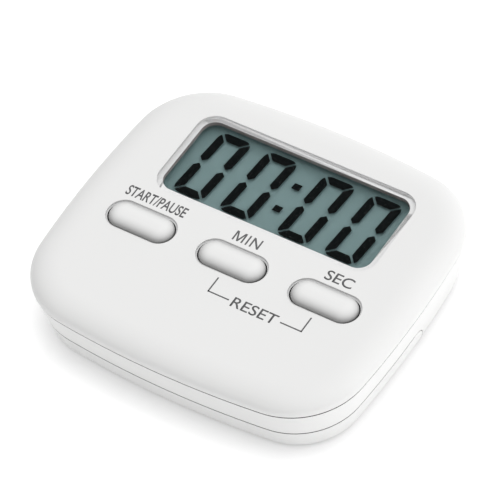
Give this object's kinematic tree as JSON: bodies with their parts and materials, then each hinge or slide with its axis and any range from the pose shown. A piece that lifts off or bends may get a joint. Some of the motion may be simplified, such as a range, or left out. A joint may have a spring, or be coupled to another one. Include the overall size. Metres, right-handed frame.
{
  "type": "kitchen timer",
  "caption": "Rounded square digital kitchen timer with a reflective display, pill-shaped keys, battery door and fold-out stand.",
  "frame": {"origin": "centre of the footprint, on the plane the timer lies on with its stand folded", "axes": "+X along the display digits, +Y towards the top of the display, +Z out of the face"},
  "size_m": [0.076, 0.0674, 0.017],
  "materials": {
    "white_case": "satin moulded ABS",
    "key_plastic": "smooth moulded ABS",
    "lens_clear": "clear acrylic",
    "film": "polarising film",
    "lcd_glass": "polished",
    "reflector": "brushed reflective film",
    "frame_plastic": "moulded",
    "elastomer": "silicone with carbon layers",
    "board": "green solder mask",
    "epoxy": "cured epoxy",
    "tin_can": "tinned steel",
    "ceramic_chip": "fired",
    "black_chip": "fired",
    "ferrite": "sintered ferrite",
    "silicone": "translucent silicone",
    "carbon": "carbon-loaded silicone",
    "brass_plate": "rolled",
    "piezo": "silvered ceramic",
    "cell_jacket": "printed shrink jacket",
    "nickel": "nickel-plated spring steel",
    "red_wire": "PVC insulation",
    "black_wire": "PVC insulation",
    "zinc": "zinc-plated steel"
  },
  "bodies": {
    "case": {"front_cover": "white_case", "back_cover": "white_case", "display_lens": "lens_clear", "lcd_front_polariser": "film", "lcd_front_glass": "lcd_glass", "lcd_rear_glass": "lcd_glass", "lcd_rear_reflector": "reflector", "lcd_frame": "frame_plastic", "zebra_strip": "elastomer", "circuit_board": "board", "controller_blob": "epoxy", "timing_crystal": "tin_can", "capacitors": "ceramic_chip", "resistors": "black_chip", "buzzer_coil": "ferrite", "keypad_mat": "silicone", "start_pause_dome": "silicone", "minute_dome": "silicone", "second_dome": "silicone", "buzzer_plate": "brass_plate", "buzzer_ceramic": "piezo", "battery": "cell_jacket", "battery_contact_plate": "nickel", "battery_spring_plate": "nickel", "battery_spring": "nickel", "buzzer_lead_red": "red_wire", "battery_lead_red": "red_wire", "buzzer_lead_black": "black_wire", "battery_lead_black": "black_wire", "case_screws": "zinc", "board_screws": "zinc", "back_magnets": "ferrite"},
    "stand": {"stand": "white_case"},
    "battery_door": {"battery_door": "white_case"},
    "start_pause_key": {"start_pause_key": "key_plastic", "start_pause_contact_pill": "carbon"},
    "minute_key": {"minute_key": "key_plastic", "minute_contact_pill": "carbon"},
    "second_key": {"second_key": "key_plastic", "second_contact_pill": "carbon"}
  },
  "joints": [
    {"name": "stand_swing", "type": "hinge", "parent": "case", "child": "stand", "pos_m": [0, 0.0014, 0.0022], "axis": [1, 0, 0], "range_deg": [0, 60]},
    {"name": "battery_door_lift", "type": "slide", "parent": "case", "child": "battery_door", "axis": [0, 0, -1], "range_m": [0, 0.012]},
    {"name": "start_pause_press", "type": "slide", "parent": "case", "child": "start_pause_key", "axis": [0, 0, -1], "range_m": [0, 0.00075], "stiffness_N_per_m": 900, "springref_m": -0.0002, "deforming": ["start_pause_dome"]},
    {"name": "minute_press", "type": "slide", "parent": "case", "child": "minute_key", "axis": [0, 0, -1], "range_m": [0, 0.00075], "stiffness_N_per_m": 900, "springref_m": -0.0002, "deforming": ["minute_dome"]},
    {"name": "second_press", "type": "slide", "parent": "case", "child": "second_key", "axis": [0, 0, -1], "range_m": [0, 0.00075], "stiffness_N_per_m": 900, "springref_m": -0.0002, "deforming": ["second_dome"]}
  ]
}
